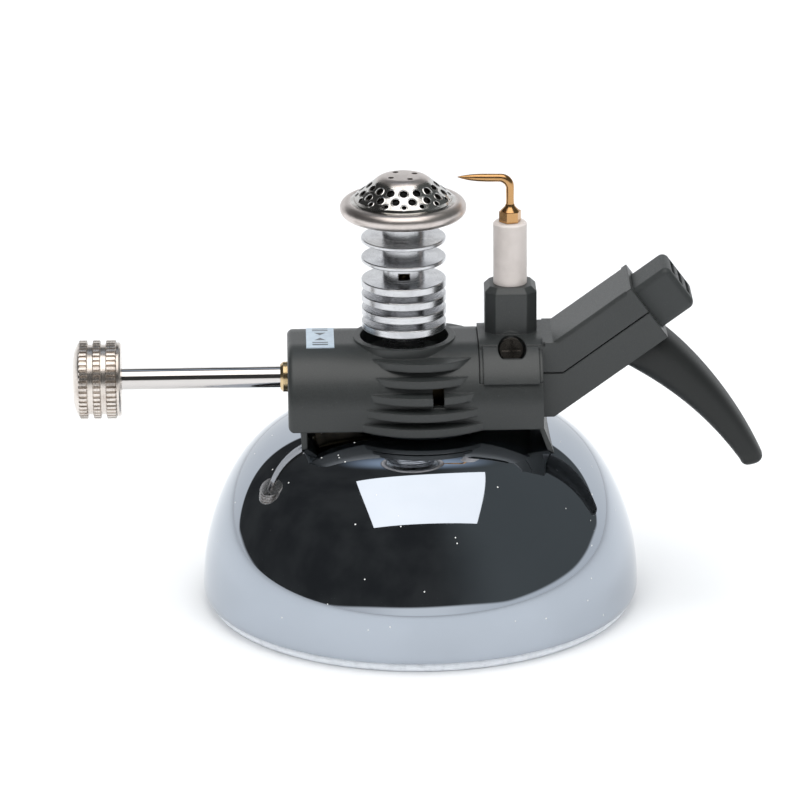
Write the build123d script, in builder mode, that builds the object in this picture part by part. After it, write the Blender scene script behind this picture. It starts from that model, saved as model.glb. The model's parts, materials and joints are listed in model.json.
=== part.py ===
"""Portable laboratory gas burner: a domed gas tank, a needle valve with a long control rod,
a finned burner tube, and a side arm that holds the piezo igniter and the gas lever.

Millimetres, +Z up, origin on the tank's axis at table level. The control knob points to -X,
the igniter arm to +X, and -Y is the front.
"""

import os
from math import asin, cos, degrees, hypot, pi, radians, sin

from build123d import *

# ------------------------------------------------------------------ driving dimensions
# tank
tank_radius = 45.0
tank_top = 40.6
tank_wall = 1.0
flank_radius = 48.0
flank_height = 3.5
flank_turn = 19.2  # degrees of the flank's arc, up to where the shoulder begins
shoulder_pull = (18.9, 17.0)  # how far the shoulder's curve reaches along its two tangents
crown_radius = 8.0
curl_radius = 3.0
curl_end_height = 2.2
seam_radius = 1.3
seam_track = 42.5
seam_height = 1.15
base_plate_radius = 43.2
base_plate_thickness = 0.8
stiffener_radii = (33.0, 36.0)
neck_hole_radius = 6.05

# fill valve in the base
fill_x = 15.0
fill_body_radius = 5.0
fill_flange_radius = 5.9
fill_chamber_radius = 3.2
fill_mouth_radius = 2.4
fill_stem_radius = 1.4

# housing on the tank
housing_left = -27.0
housing_right = 25.0
housing_half_width = 15.3
housing_top = 56.7
housing_bottom = 41.4
housing_flat = 3.8
housing_corner = 11.5
housing_wall = 1.8
split_height = 50.8
cover_left = 12.1
cover_proud = 0.7
shell_gap = 0.1
parting_gap = 0.3
drum_x = 0.3
drum_core_radius = 15.0
rib_thickness = 1.65
rib_heights = (54.3, 51.4, 48.4, 45.3, 42.25)
rib_radii = (14.0, 16.0, 18.0, 19.0, 19.6)

# burner
burner_x = -3.0
collar_radius = 10.5
well_radius = 9.1
collar_top = 57.0
well_floor = 53.2
tube_radius = 4.35
tube_bore = 3.2
spigot_radius = 3.55
fin_radius = 8.65
thin_fins = (77.9, 73.7)
thick_fins = (68.6, 65.6, 62.7, 59.7)
thin_fin = 0.85
thick_fin = 1.65
window_height = 70.75
window_size = (2.4, 1.5)
tube_top = 85.2
cap_radius = 12.9
cap_rim = 1.67
cap_rim_height = 84.4
cap_top = 91.2
screen_radius = 9.0

# control line along X
control_height = 48.3
knob_left = -71.0
knob_right = -61.1
knob_radius = 8.1
rod_radius = 2.2
rod_inner_end = -12.0
needle_radius = 1.5
gland_radius = 3.1
gland_left = -28.5
shaft_clearance = 0.05

# igniter arm
arm_angle = 36.0
arm_end = (46.8, 63.6)
arm_half_width = 8.0
arm_half_height = 6.5
arm_wall = 1.3
button_width = 11.2
button_height = 10.2
button_reach = 8.3
boss_x = 18.9
boss_y = 3.3
boss_half_width = 5.3
boss_corner = 2.1
boss_top = 67.0
ceramic_radius = 3.45
ceramic_bottom = 55.2
ceramic_top = 80.0
electrode_height = 89.3
electrode_radius = 0.78
electrode_tip_x = 8.1

# lever
lever_tip_x = 71.0
pin_radius = 1.0
pushrod_y = -4.5
pushrod_height = 49.3
pushrod_radius = 1.2

# ------------------------------------------------------------------ frames and helpers
os.makedirs("parts", exist_ok=True)

along = (cos(radians(arm_angle)), sin(radians(arm_angle)))
arm_plane = Plane(
    origin=(arm_end[0], 0, arm_end[1]),
    x_dir=(0, 1, 0),
    z_dir=(along[0], 0, along[1]),
)
arm_axis = Axis((arm_end[0], 0, arm_end[1]), (along[0], 0, along[1]))
curl_turn = asin((flank_height - curl_end_height) / curl_radius)


def save(piece, name):
    """Label a finished piece and write it as its own STEP file."""
    piece.part.label = name
    export_step(piece.part, f"parts/{name}.step")


def arm_point(s, t):
    """XZ place of a point s along the arm from its open end and t above its middle."""
    return (
        arm_end[0] + s * along[0] - t * along[1],
        arm_end[1] + s * along[1] + t * along[0],
    )


def arm_offset(s):
    """The plane across the arm, s along it from its open end."""
    return arm_plane.offset(s)


def dome_face(inset):
    """Half profile of the tank, inset from its outer surface."""
    top = tank_top - inset
    flank_x = tank_radius - flank_radius
    curl_x = tank_radius - curl_radius
    leaving = (-sin(radians(flank_turn)), cos(radians(flank_turn)))
    shrink = 1 - inset / flank_radius
    with BuildSketch() as profile:
        with BuildLine():
            flank = CenterArc((flank_x, flank_height), flank_radius - inset, 0, flank_turn)
            shoulder_start = flank @ 1
            shoulder_pull_start = (
                shoulder_start.X + shoulder_pull[0] * shrink * leaving[0],
                shoulder_start.Y + shoulder_pull[0] * shrink * leaving[1],
            )
            Bezier(
                shoulder_start, shoulder_pull_start,
                (crown_radius + shoulder_pull[1] * shrink, top), (crown_radius, top),
            )
            curl = CenterArc((curl_x, flank_height), curl_radius - inset, 0, -degrees(curl_turn))
            Polyline(curl @ 1, (0, (curl @ 1).Y), (0, top), (crown_radius, top))
        make_face()
    return profile.sketch


def loaf_face(grow, bottom):
    """Housing section in YZ: flat top and round upper corners, grown outwards by grow."""
    half = housing_half_width + grow
    top = housing_top + grow
    corner = housing_corner + grow
    with BuildSketch() as section:
        with BuildLine():
            left = CenterArc((-housing_flat, top - corner), corner, 90, 90)
            right = CenterArc((housing_flat, top - corner), corner, 0, 90)
            Line(left @ 0, right @ 1)
            Polyline(left @ 1, (-half, bottom), (half, bottom), right @ 0)
        make_face()
    return section.sketch


def boss_face():
    """Section of the ceramic's boss: a square with its corners cut off."""
    with BuildSketch() as section:
        with Locations((boss_x, boss_y)):
            Rectangle(2 * boss_half_width, 2 * boss_half_width)
        chamfer(section.vertices(), boss_corner)
    return section.sketch


def arm_outline(inset, upper):
    """Side outline of one half of the arm. With an inset it is the hollow inside that half,
    which runs past the parting plane and the open end."""
    high = arm_half_height - inset
    roof = housing_top + cover_proud - inset
    floor = housing_bottom + shell_gap + inset
    past = 1.0 if inset else 0.0
    split_bend = (arm_end[0] + (split_height - arm_end[1]) * along[0] / along[1], split_height)
    if upper:
        rise = parting_gap - past
        bend = arm_point((roof - arm_end[1] - high * along[0]) / along[1], high)
        return [
            (cover_left + 8, split_height + rise), (split_bend[0], split_height + rise),
            arm_point(past, rise), arm_point(past, high), bend, (cover_left + 8, roof),
        ]
    start = housing_right + shell_gap - past
    bend = arm_point((floor - arm_end[1] + high * along[0]) / along[1], -high)
    return [
        (start, split_height + past), (split_bend[0], split_height + past),
        arm_point(past, past), arm_point(past, -high), bend, (start, floor),
    ]


def coil(plane, radius, wire, pitch, height):
    """A round wire coil that rises along the plane's normal from its origin."""
    with BuildPart() as spring:
        with BuildLine() as turns:
            Helix(pitch=pitch, height=height, radius=radius)
        with BuildSketch(Plane(turns.line @ 0, z_dir=turns.line % 0)):
            Circle(wire)
        sweep()
    return plane.location * spring.part


# ------------------------------------------------------------------ gas tank
with BuildPart() as tank_shell:
    with BuildSketch(Plane.XZ):
        add(dome_face(0))
    revolve(axis=Axis.Z)
    with BuildSketch(Plane.XZ):
        add(dome_face(tank_wall))
    revolve(axis=Axis.Z, mode=Mode.SUBTRACT)
    with BuildSketch(Plane.XY.offset(curl_end_height)):
        Circle(tank_radius - curl_radius + (curl_radius - tank_wall) * cos(curl_turn))
    extrude(amount=tank_wall, mode=Mode.SUBTRACT)
    with BuildSketch(Plane.XY.offset(tank_top - 2 * tank_wall)):
        Circle(neck_hole_radius)
    extrude(amount=3 * tank_wall, mode=Mode.SUBTRACT)
save(tank_shell, "tank_shell")

with BuildPart() as seam_ring:
    with BuildSketch(Plane.XZ):
        with Locations((seam_track, seam_height)):
            Circle(seam_radius)
        with Locations((seam_track, -seam_radius)):
            Rectangle(4 * seam_radius, 2 * seam_radius, mode=Mode.SUBTRACT)
    revolve(axis=Axis.Z)
save(seam_ring, "seam_ring")

base_plate_height = seam_height + seam_radius
with BuildPart() as base_plate:
    with BuildSketch(Plane.XY.offset(base_plate_height)):
        Circle(base_plate_radius)
        with Locations((fill_x, 0)):
            Circle(fill_body_radius, mode=Mode.SUBTRACT)
    extrude(amount=base_plate_thickness)
    with BuildSketch(Plane.XY.offset(base_plate_height + base_plate_thickness)):
        Circle(stiffener_radii[1])
        Circle(stiffener_radii[0], mode=Mode.SUBTRACT)
    extrude(amount=1.0)
save(base_plate, "base_plate")

# The fill valve: a brass body through the base, with a sprung stem that the refill nozzle lifts.
fill_body_bottom = 1.2
fill_body_top = 14.0
fill_chamber_floor = 4.6
fill_roof = 1.2
with BuildPart() as fill_valve_body:
    with BuildSketch(Plane.XY.offset(fill_body_bottom)):
        with Locations((fill_x, 0)):
            Circle(fill_flange_radius)
    extrude(amount=base_plate_height - fill_body_bottom)
    with BuildSketch(Plane.XY.offset(base_plate_height)):
        with Locations((fill_x, 0)):
            Circle(fill_body_radius)
    extrude(amount=fill_body_top - base_plate_height)
    with BuildSketch(Plane.XY.offset(fill_body_bottom)):
        with Locations((fill_x, 0)):
            Circle(fill_mouth_radius)
    extrude(amount=1.4, mode=Mode.SUBTRACT)
    with BuildSketch(Plane.XY.offset(fill_body_bottom)):
        with Locations((fill_x, 0)):
            Circle(fill_stem_radius + shaft_clearance)
    extrude(amount=8.0, mode=Mode.SUBTRACT)
    with BuildSketch(Plane.XY.offset(fill_chamber_floor)):
        with Locations((fill_x, 0)):
            Circle(fill_chamber_radius)
    extrude(amount=fill_body_top - fill_chamber_floor - fill_roof, mode=Mode.SUBTRACT)
    with BuildSketch(Plane.XY.offset(fill_body_top - 2.0)):
        with Locations((fill_x, 0)):
            Circle(0.8)
    extrude(amount=3.0, mode=Mode.SUBTRACT)
save(fill_valve_body, "fill_valve_body")

stem_flange_height = fill_chamber_floor + 0.8
stem_flange = 1.0
with BuildPart() as fill_valve_stem:
    with BuildSketch(Plane.XY.offset(fill_body_bottom + 0.3)):
        with Locations((fill_x, 0)):
            Circle(fill_stem_radius)
    extrude(amount=stem_flange_height - fill_body_bottom - 0.3)
    with BuildSketch(Plane.XY.offset(stem_flange_height)):
        with Locations((fill_x, 0)):
            Circle(fill_chamber_radius - 0.4)
    extrude(amount=stem_flange)
    with BuildSketch(Plane.XY.offset(stem_flange_height + stem_flange)):
        with Locations((fill_x, 0)):
            Circle(1.2)
    extrude(amount=2.4)
save(fill_valve_stem, "fill_valve_stem")

with BuildPart() as fill_valve_seal:
    with BuildSketch(Plane.XY.offset(fill_chamber_floor)):
        with Locations((fill_x, 0)):
            Circle(fill_chamber_radius - shell_gap)
            Circle(fill_stem_radius + shaft_clearance, mode=Mode.SUBTRACT)
    extrude(amount=stem_flange_height - fill_chamber_floor)
save(fill_valve_seal, "fill_valve_seal")

spring_foot = stem_flange_height + stem_flange
spring_wire = 0.3
with BuildPart() as fill_valve_spring:
    add(
        coil(
            Plane((fill_x, 0, spring_foot + spring_wire)), 2.1, spring_wire, 1.2,
            fill_body_top - fill_roof - spring_foot - 2 * spring_wire,
        )
    )
save(fill_valve_spring, "fill_valve_spring")

# The neck bolts the housing to the dome and carries the wick tube that draws up the gas.
neck_radius = 6.0
neck_top = 44.8
neck_bore = 1.5
neck_flange = 1.5
neck_stub_bottom = 30.0
neck_stub_radius = 3.2
wick_tube_radius = 2.0
wick_radius = 1.45
wick_bottom = 4.2
drum_floor = 41.1
drum_floor_top = drum_floor + 1.3
with BuildPart() as tank_neck:
    with BuildSketch(Plane.XY.offset(tank_top - tank_wall - neck_flange)):
        Circle(crown_radius)
    extrude(amount=neck_flange)
    with BuildSketch(Plane.XY.offset(tank_top - tank_wall)):
        Circle(neck_radius)
    extrude(amount=neck_top - tank_top + tank_wall)
    with BuildSketch(Plane.XY.offset(neck_stub_bottom)):
        Circle(neck_stub_radius)
    extrude(amount=tank_top - tank_wall - neck_flange - neck_stub_bottom)
    with BuildSketch(Plane.XY.offset(neck_stub_bottom)):
        Circle(neck_bore)
    extrude(amount=neck_top - neck_stub_bottom, mode=Mode.SUBTRACT)
    with BuildSketch(Plane.XY.offset(neck_stub_bottom)):
        Circle(wick_tube_radius)
    extrude(amount=4.0, mode=Mode.SUBTRACT)
save(tank_neck, "tank_neck")

with BuildPart() as neck_nut:
    with BuildSketch(Plane.XY.offset(drum_floor_top)):
        RegularPolygon(radius=8.2, side_count=6)
        Circle(neck_radius, mode=Mode.SUBTRACT)
    extrude(amount=2.0)
save(neck_nut, "neck_nut")

gasket_radius = 12.0
gasket_overlap = 0.5
with BuildPart() as dome_gasket:
    with BuildSketch(Plane.XY.offset(tank_top - gasket_overlap)):
        Circle(gasket_radius)
        Circle(neck_radius, mode=Mode.SUBTRACT)
    extrude(amount=drum_floor - tank_top + gasket_overlap)
    with BuildSketch(Plane.XZ):
        add(dome_face(0))
    revolve(axis=Axis.Z, mode=Mode.SUBTRACT)
save(dome_gasket, "dome_gasket")

with BuildPart() as wick_tube:
    with BuildSketch(Plane.XY.offset(6.0)):
        Circle(wick_tube_radius)
        Circle(neck_bore, mode=Mode.SUBTRACT)
    extrude(amount=28.0)
save(wick_tube, "wick_tube")

with BuildPart() as wick:
    with BuildSketch(Plane.XY.offset(wick_bottom)):
        Circle(wick_radius)
    extrude(amount=neck_stub_bottom - wick_bottom)
save(wick, "wick")

# ------------------------------------------------------------------ main housing
tub_floor = housing_bottom + housing_wall
notch_floor = 47.9
notch_width = 12.4
slot_x = 3.55
slot_width = 2.3
slot_height = 4.2
screw_tilt = 20.0
screw_seat = 4.0
screw_head_height = 1.2
screw_recess_radius = 2.9
screw_origin = (18.8, -7.3, 56.0)
screw_plane = Plane(
    origin=screw_origin,
    x_dir=(1, 0, 0),
    z_dir=(0, cos(radians(screw_tilt)), -sin(radians(screw_tilt))),
)
foot_half_width = 14.3
foot_thickness = 1.2
left_foot = -24.4
right_foot_reach = 2.9
foot_bottom = 34.0
foot_top = 42.0
post_size = (4.0, 4.6)
post_height = 10.6
with BuildPart() as main_housing:
    # outer body; its right part becomes a tub that the cover closes
    with BuildSketch(Plane.YZ.offset(housing_left)):
        add(loaf_face(0, housing_bottom))
    extrude(amount=cover_left - 0.1 - housing_left)
    fillet(main_housing.faces().sort_by(Axis.X)[0].edges(), 1.2)
    with BuildSketch(Plane.YZ.offset(cover_left - 0.1)):
        add(loaf_face(0, housing_bottom))
    extrude(amount=housing_right - cover_left + 0.1)
    # cooling ribs of the drum, cut down to the tub on the right
    for height, radius in zip(rib_heights, rib_radii):
        with BuildSketch(Plane.XY.offset(height - rib_thickness / 2)):
            with Locations((drum_x, 0)):
                Circle(radius)
        extrude(amount=rib_thickness)
    with Locations((cover_left - shell_gap + 20, 0, split_height + 20)):
        Box(40, 60, 40, mode=Mode.SUBTRACT)
    # feet at both ends, which stand on the dome
    with BuildSketch(Plane.XZ):
        with BuildLine():
            Polyline(
                (left_foot, foot_top), (left_foot + foot_thickness, foot_top),
                (left_foot + foot_thickness, foot_bottom), (left_foot, foot_bottom), close=True,
            )
        make_face()
        with BuildLine():
            Polyline(
                (housing_right - foot_thickness, foot_top), (housing_right, foot_top),
                (housing_right, housing_bottom), (housing_right + right_foot_reach, foot_bottom),
                (housing_right + right_foot_reach - foot_thickness, foot_bottom), close=True,
            )
        make_face()
    extrude(amount=foot_half_width, both=True)
    # collar round the burner tube
    with BuildSketch(Plane.XY.offset(housing_bottom + 5)):
        with Locations((burner_x, 0)):
            Circle(collar_radius)
    extrude(amount=collar_top - housing_bottom - 5)
    # hollow inside
    with BuildSketch(Plane.YZ.offset(housing_left + housing_wall)):
        add(loaf_face(-housing_wall, housing_bottom - 3))
        with Locations((0, housing_bottom - 4)):
            Rectangle(60, 8, mode=Mode.SUBTRACT)
    extrude(amount=cover_left - 2 - housing_left - housing_wall, mode=Mode.SUBTRACT)
    with BuildSketch(Plane.YZ.offset(cover_left - 2.0)):
        add(loaf_face(-housing_wall, housing_bottom - 3))
        with Locations((0, tub_floor - 10)):
            Rectangle(60, 20, mode=Mode.SUBTRACT)
    extrude(amount=housing_right - housing_wall - cover_left + 2.0, mode=Mode.SUBTRACT)
    # floor of the drum, which the neck's nut clamps to the dome
    with BuildSketch(Plane.XY.offset(drum_floor)):
        with Locations((drum_x, 0)):
            Circle(drum_core_radius)
    extrude(amount=drum_floor_top - drum_floor)
    # burner well with its floor, which the cavity had cut away
    with BuildSketch(Plane.XY.offset(well_floor - housing_wall)):
        with Locations((burner_x, 0)):
            Circle(collar_radius)
    extrude(amount=collar_top - well_floor + housing_wall)
    with BuildSketch(Plane.XY.offset(well_floor)):
        with Locations((burner_x, 0)):
            Circle(well_radius)
    extrude(amount=10, mode=Mode.SUBTRACT)
    with BuildSketch(Plane.XY.offset(well_floor - 5)):
        with Locations((burner_x, 0)):
            Circle(spigot_radius + 0.05)
    extrude(amount=6, mode=Mode.SUBTRACT)
    # holes for the neck and the gland, notch for the pushrod, sight slot in the drum
    with BuildSketch(Plane.XY.offset(drum_floor - 1)):
        Circle(neck_radius + 0.1)
    extrude(amount=4, mode=Mode.SUBTRACT)
    with BuildSketch(Plane.YZ.offset(housing_left - 1)):
        with Locations((0, control_height)):
            Circle(gland_radius + 0.2)
    extrude(amount=4, mode=Mode.SUBTRACT)
    with Locations((housing_right - 1, 0, notch_floor + 5)):
        Box(6, notch_width, 10, mode=Mode.SUBTRACT)
    with Locations((slot_x, -housing_half_width, control_height + 0.1)):
        Box(slot_width, 9, slot_height, mode=Mode.SUBTRACT)
    # post that takes the cover screw
    with BuildSketch(Plane.XY.offset(tub_floor)):
        with Locations((boss_x - 0.1, -0.1)):
            Rectangle(*post_size)
    extrude(amount=post_height)
    with BuildSketch(screw_plane):
        Circle(1.35)
    extrude(amount=12, mode=Mode.SUBTRACT)
    # the dome itself, so that the feet end on it
    with BuildSketch(Plane.XZ):
        add(dome_face(-0.05))
    revolve(axis=Axis.Z, mode=Mode.SUBTRACT)
save(main_housing, "main_housing")

label_left = -23.1
label_width = 5.7
label_thickness = 0.2
label_half_width = 6.2
with BuildPart() as label_plate:
    with BuildSketch(Plane.YZ.offset(label_left)):
        add(loaf_face(label_thickness, housing_bottom))
        add(loaf_face(0, housing_bottom - 1), mode=Mode.SUBTRACT)
        with Locations((0, housing_top)):
            Rectangle(2 * label_half_width, housing_corner, mode=Mode.INTERSECT)
    extrude(amount=label_width)
save(label_plate, "label_plate")

# ------------------------------------------------------------------ needle valve and its control
block_bottom = neck_top
block_top = well_floor - housing_wall - 0.1
block_left = -24.0
block_right = 8.0
seat_x = -2.0
seal_left = -21.2
seal_right = -19.8
seat_radius = 0.8
gas_way_radius = 1.2
jet_way_radius = 0.9
with BuildPart() as valve_body:
    with BuildSketch(Plane.YZ.offset(block_left)):
        with Locations((0, (block_bottom + block_top) / 2)):
            RectangleRounded(14, block_top - block_bottom, 1.0)
    extrude(amount=block_right - block_left)
    # bore for the rod, wider where the seal and the gland sit, narrow past the needle's seat
    with BuildSketch(Plane.YZ.offset(block_left)):
        with Locations((0, control_height)):
            Circle(rod_radius + shaft_clearance)
    extrude(amount=seat_x - block_left, mode=Mode.SUBTRACT)
    with BuildSketch(Plane.YZ.offset(block_left)):
        with Locations((0, control_height)):
            Circle(gland_radius + shell_gap)
    extrude(amount=seal_right - block_left, mode=Mode.SUBTRACT)
    with BuildSketch(Plane.YZ.offset(seat_x)):
        with Locations((0, control_height)):
            Circle(seat_radius)
    extrude(amount=5, mode=Mode.SUBTRACT)
    # gas ways: in from the neck, out to the jet
    with BuildSketch(Plane.XY.offset(block_bottom)):
        Circle(gas_way_radius)
    extrude(amount=control_height - block_bottom, mode=Mode.SUBTRACT)
    with BuildSketch(Plane.XY.offset(control_height)):
        with Locations((burner_x, 0)):
            Circle(jet_way_radius)
    extrude(amount=5, mode=Mode.SUBTRACT)
    # port for the lever's pushrod
    with BuildSketch(Plane.YZ.offset(1.0)):
        with Locations((pushrod_y, pushrod_height)):
            Circle(pushrod_radius + shaft_clearance)
    extrude(amount=block_right, mode=Mode.SUBTRACT)
save(valve_body, "valve_body")

with BuildPart() as gland_nut:
    with BuildSketch(Plane.XZ):
        with BuildLine():
            Polyline(
                (gland_left, 0), (gland_left, gland_radius - 0.5), (gland_left + 0.6, gland_radius),
                (seal_left, gland_radius), (seal_left, 0), close=True,
            )
        make_face()
    revolve(axis=Axis.X)
    with BuildSketch(Plane.YZ.offset(-29)):
        Circle(rod_radius + shaft_clearance)
    extrude(amount=10, mode=Mode.SUBTRACT)
gland_nut.part = Pos(0, 0, control_height) * gland_nut.part
save(gland_nut, "gland_nut")

with BuildPart() as spindle_seal:
    with BuildSketch(Plane.YZ.offset(seal_left)):
        with Locations((0, control_height)):
            Circle(gland_radius + shaft_clearance)
            Circle(rod_radius + 0.03, mode=Mode.SUBTRACT)
    extrude(amount=seal_right - seal_left)
    chamfer(spindle_seal.edges().filter_by(GeomType.CIRCLE).group_by(SortBy.RADIUS)[-1], 0.4)
save(spindle_seal, "spindle_seal")

knob_bore_end = knob_left + 2.5
with BuildPart() as control_rod:
    with BuildSketch(Plane.YZ.offset(knob_bore_end)):
        with Locations((0, control_height)):
            Circle(rod_radius)
    extrude(amount=rod_inner_end - knob_bore_end)
    chamfer(control_rod.edges().group_by(Axis.X)[-1], 0.4)
save(control_rod, "control_rod")

needle_tip_x = seat_x + 0.4
with BuildPart() as needle:
    with BuildSketch(Plane.XZ):
        with BuildLine():
            Polyline(
                (rod_inner_end, 0), (rod_inner_end, needle_radius), (seat_x - 2.2, needle_radius),
                (needle_tip_x, 0.45), (needle_tip_x, 0), close=True,
            )
        make_face()
    revolve(axis=Axis.X)
needle.part = Pos(0, 0, control_height) * needle.part
save(needle, "needle")

# The knob: a domed end, three straight-knurled bands and the plain grooves between them.
flute_count = 46
flute_depth = 0.45
knurl_bands = ((-69.7, 1.75), (-66.85, 1.6), (-64.15, 2.1))
core_radius = knob_radius - 0.9
collar_start = -62.0
knob_collar_radius = 7.6
with BuildPart() as control_knob:
    with BuildSketch(Plane.XZ):
        with BuildLine():
            Polyline((knob_left, 0), (knob_left, 4.6))
            ThreePointArc((knob_left, 4.6), (knob_left + 0.45, 6.5), (knob_left + 1.3, 7.7))
            Polyline(
                (knob_left + 1.3, 7.7), (knob_left + 1.3, core_radius), (collar_start, core_radius),
                (collar_start, knob_collar_radius), (knob_right - 0.5, knob_collar_radius),
                (knob_right, knob_collar_radius - 0.5), (knob_right, 0), (knob_left, 0),
            )
        make_face()
    revolve(axis=Axis.X)
    for band_start, band_width in knurl_bands:
        with BuildSketch(Plane.YZ.offset(band_start)):
            with BuildLine():
                half_flute = pi / flute_count
                Polyline(
                    [
                        (
                            (knob_radius - flute_depth * (step % 2)) * cos(step * half_flute),
                            (knob_radius - flute_depth * (step % 2)) * sin(step * half_flute),
                        )
                        for step in range(2 * flute_count)
                    ],
                    close=True,
                )
            make_face()
        extrude(amount=band_width)
    with BuildSketch(Plane.YZ.offset(knob_bore_end)):
        Circle(rod_radius)
    extrude(amount=20, mode=Mode.SUBTRACT)
control_knob.part = Pos(0, 0, control_height) * control_knob.part
save(control_knob, "control_knob")

# ------------------------------------------------------------------ burner
jet_top = 71.3
jet_radius = 1.8
with BuildPart() as jet_nozzle:
    with BuildSketch(Plane.XZ):
        with BuildLine():
            Polyline(
                (0, block_top), (jet_radius, block_top), (jet_radius, jet_top - 1.2),
                (jet_radius / 2, jet_top), (0, jet_top), close=True,
            )
        make_face()
        with Locations((0.2, block_top + 8)):
            Rectangle(jet_radius / 2, 16, mode=Mode.SUBTRACT)
        with Locations((0, jet_top - 3)):
            Rectangle(0.3, 8, mode=Mode.SUBTRACT)
    revolve(axis=Axis.Z)
jet_nozzle.part = Pos(burner_x, 0, 0) * jet_nozzle.part
save(jet_nozzle, "jet_nozzle")

with BuildPart() as burner_tube:
    with BuildSketch(Plane.XY.offset(block_top)):
        with Locations((burner_x, 0)):
            Circle(spigot_radius)
    extrude(amount=well_floor - block_top)
    with BuildSketch(Plane.XY.offset(well_floor)):
        with Locations((burner_x, 0)):
            Circle(tube_radius)
    extrude(amount=tube_top - well_floor)
    for heights, thickness in ((thin_fins, thin_fin), (thick_fins, thick_fin)):
        for height in heights:
            with BuildSketch(Plane.XY.offset(height - thickness / 2)):
                with Locations((burner_x, 0)):
                    Circle(fin_radius)
            extrude(amount=thickness)
    chamfer(burner_tube.edges().filter_by(GeomType.CIRCLE).group_by(SortBy.RADIUS)[-1], 0.15)
    with BuildSketch(Plane.XY.offset(block_top)):
        with Locations((burner_x, 0)):
            Circle(tube_bore)
    extrude(amount=tube_top - block_top, mode=Mode.SUBTRACT)
    # air windows
    with Locations((burner_x, 0, window_height)):
        for turn in (0, 90):
            Box(2 * tube_radius + 2, *window_size, rotation=(0, 0, turn), mode=Mode.SUBTRACT)
save(burner_tube, "burner_tube")

cap_rim_track = cap_radius - cap_rim
cap_rows = (
    (6.9, 89.3, 1.75, 0.0), (8.5, 88.05, 1.65, 0.5), (9.45, 87.25, 1.05, 0.0),
)
cap_hole_count = 16
cone_tilt = 39.0
with BuildPart() as flame_cap:
    with BuildSketch(Plane.XZ):
        with BuildLine():
            crown = Line((0, cap_top), (3.4, cap_top - 0.1))
            brow = TangentArc(crown @ 1, (5.7, 90.2), tangent=crown % 1)
            Polyline(
                brow @ 1, (9.95, 86.75), (10.1, 86.2), (11.3, 85.9), (11.3, 83.1), (0, 83.1),
                (0, cap_top),
            )
        make_face()
        with Locations((cap_rim_track, cap_rim_height)):
            Circle(cap_rim)
        with BuildLine():
            Polyline(
                (0, 90.5), (3.6, 90.4), (5.2, 89.6), (9.3, 86.2), (9.5, 83.9), (0, 83.9), close=True
            )
        make_face(mode=Mode.SUBTRACT)
    revolve(axis=Axis.Z)
    with BuildSketch(Plane.XY.offset(80)):
        Circle(tube_radius)
    extrude(amount=5, mode=Mode.SUBTRACT)
    # gas holes: three staggered rows square to the cone, and four in the crown
    for row_radius, row_height, hole, stagger in cap_rows:
        with PolarLocations(row_radius, cap_hole_count, start_angle=360 * stagger / cap_hole_count):
            with Locations(Location((0, 0, row_height), (0, cone_tilt, 0))):
                Cylinder(hole / 2, 3.0, mode=Mode.SUBTRACT)
    with PolarLocations(2.8, 4, start_angle=30):
        with Locations((0, 0, cap_top)):
            Cylinder(0.6, 3.0, mode=Mode.SUBTRACT)
flame_cap.part = Pos(burner_x, 0, 0) * flame_cap.part
save(flame_cap, "flame_cap")

with BuildPart() as flame_screen:
    with BuildSketch(Plane.XY.offset(tube_top + 0.4)):
        with Locations((burner_x, 0)):
            Circle(screen_radius)
    extrude(amount=0.3)
save(flame_screen, "flame_screen")

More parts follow.
